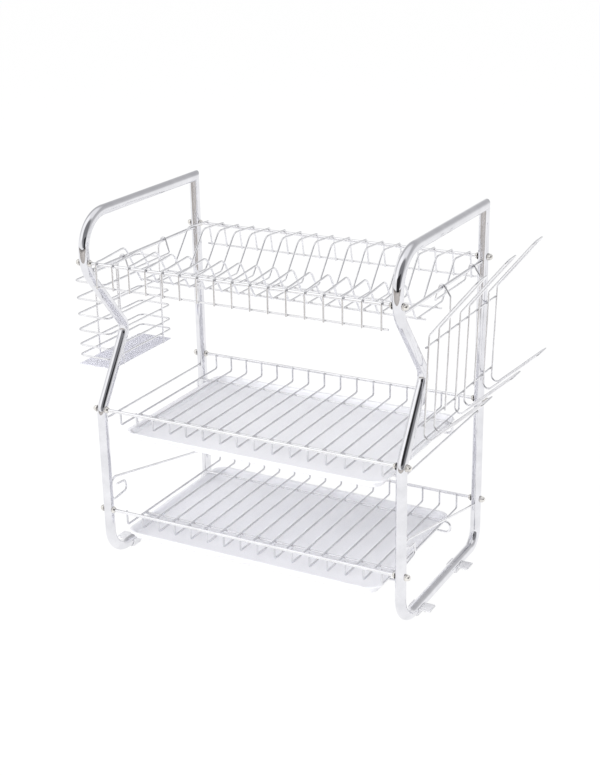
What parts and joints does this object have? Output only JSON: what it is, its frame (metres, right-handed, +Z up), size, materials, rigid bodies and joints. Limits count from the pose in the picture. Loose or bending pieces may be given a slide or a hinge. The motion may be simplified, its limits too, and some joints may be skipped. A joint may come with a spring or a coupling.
{
  "type": "dish drying rack",
  "caption": "Tiered chrome wire rack on two bent tube side frames for draining plates, cups and cutlery, with sliding drip trays, a hanging basket and a hanging board holder.",
  "frame": {"origin": "centre of the overall box, on the table plane under the foot clips", "axes": "+X towards the side with the board holder, +Y towards the back, +Z up"},
  "size_m": [0.675, 0.344, 0.566],
  "materials": {
    "chrome_tube": "polished",
    "chrome_rail": "polished",
    "chrome_wire": "polished",
    "basket_wire": "polished",
    "board_wire": "polished",
    "mesh_steel": "satin",
    "fastener_steel": "polished",
    "tray_plastic": "smooth, slightly frosted",
    "clip_plastic": "matte"
  },
  "bodies": {
    "rack": {"upper_frame_left": "chrome_tube", "lower_frame_left": "chrome_tube", "hanging_rod_left": "chrome_wire", "brace_wire_left": "chrome_wire", "scroll_wire_left": "chrome_wire", "foot_clip_front_left": "clip_plastic", "foot_clip_back_left": "clip_plastic", "upper_frame_right": "chrome_tube", "lower_frame_right": "chrome_tube", "hanging_rod_right": "chrome_wire", "brace_wire_right": "chrome_wire", "scroll_wire_right": "chrome_wire", "foot_clip_front_right": "clip_plastic", "foot_clip_back_right": "clip_plastic", "plate_front_rail": "chrome_rail", "plate_back_rail": "chrome_rail", "plate_dividers": "chrome_wire", "plate_prong_wire": "chrome_wire", "plate_front_valley_wire": "chrome_wire", "plate_back_valley_wire": "chrome_wire", "plate_tail_wire": "chrome_wire", "middle_front_rail": "chrome_rail", "middle_back_rail": "chrome_rail", "middle_floor_wires": "chrome_wire", "middle_front_cross_wire": "chrome_wire", "middle_back_cross_wire": "chrome_wire", "lower_front_rail": "chrome_rail", "lower_back_rail": "chrome_rail", "lower_floor_wires": "chrome_wire", "lower_front_cross_wire": "chrome_wire", "lower_back_cross_wire": "chrome_wire", "outer_washers": "fastener_steel", "cap_nuts": "fastener_steel", "inner_collars": "fastener_steel"},
    "middle_tray_body": {"middle_tray": "tray_plastic"},
    "lower_tray_body": {"lower_tray": "tray_plastic"},
    "cutlery_basket": {"basket_rings": "basket_wire", "basket_hook_wire": "basket_wire", "basket_uprights": "basket_wire", "basket_floor_mesh": "mesh_steel"},
    "board_rack": {"board_finger_front": "board_wire", "board_finger_middle": "board_wire", "board_finger_back": "board_wire", "board_upper_bar": "board_wire", "board_lower_bar": "board_wire", "board_hook_wire": "board_wire"}
  },
  "joints": [
    {"name": "middle_tray_slide", "type": "slide", "parent": "rack", "child": "middle_tray_body", "axis": [0, -1, 0], "range_m": [0, 0.2]},
    {"name": "lower_tray_slide", "type": "slide", "parent": "rack", "child": "lower_tray_body", "axis": [0, -1, 0], "range_m": [0, 0.2]},
    {"name": "basket_lift", "type": "slide", "parent": "rack", "child": "cutlery_basket", "axis": [0, 0, 1], "range_m": [0, 0.03]},
    {"name": "board_rack_lift", "type": "slide", "parent": "rack", "child": "board_rack", "axis": [0, 0, 1], "range_m": [0, 0.03]}
  ]
}
